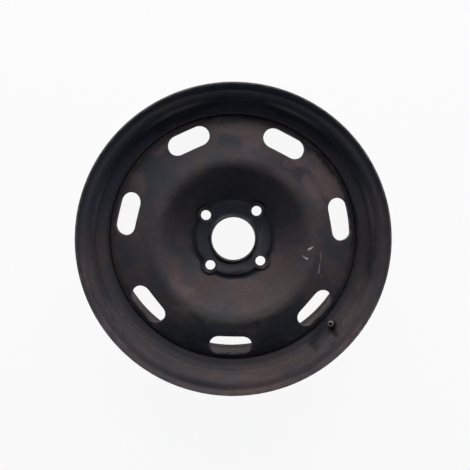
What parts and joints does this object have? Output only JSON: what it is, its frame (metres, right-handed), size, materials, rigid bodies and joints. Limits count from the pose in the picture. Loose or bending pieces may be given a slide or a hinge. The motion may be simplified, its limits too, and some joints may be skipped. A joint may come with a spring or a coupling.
{
  "type": "steel wheel",
  "caption": "Pressed steel car wheel in worn black paint: a rolled drop-centre rim, a dished and vented disc with a raised hub, and a snap-in rubber tyre valve with a sprung core.",
  "frame": {"origin": "on the wheel axis, at the centre of the bolt circle in the plane of the hub mounting face", "axes": "+Z along the wheel axis to the outboard side, up as the wheel lies on its inboard flange; +Y is up and +X is right in the picture"},
  "size_m": [0.4406, 0.4404, 0.1896],
  "materials": {
    "wheel_paint": "worn satin black",
    "valve_rubber": "matte black",
    "valve_metal": "dull nickel plate",
    "core_brass": "bare",
    "core_seal": "matte",
    "core_steel": "bare"
  },
  "bodies": {
    "wheel": {"rim": "wheel_paint", "wheel_disc": "wheel_paint", "weld_beads": "wheel_paint", "valve_rubber": "valve_rubber", "valve_tube": "valve_metal", "core_plug": "core_brass", "core_barrel": "core_brass", "barrel_seal": "core_seal", "core_spring": "core_steel"},
    "valve_pin": {"core_pin": "core_brass", "core_cup": "core_brass", "cup_seal": "core_seal"}
  },
  "joints": [
    {"name": "valve_pin_press", "type": "slide", "parent": "wheel", "child": "valve_pin", "axis": [0.2616, -0.2203, -0.9397], "range_m": [0, 0.0012], "stiffness_N_per_m": 300, "springref_m": -0.002, "deforming": ["core_spring"]}
  ]
}
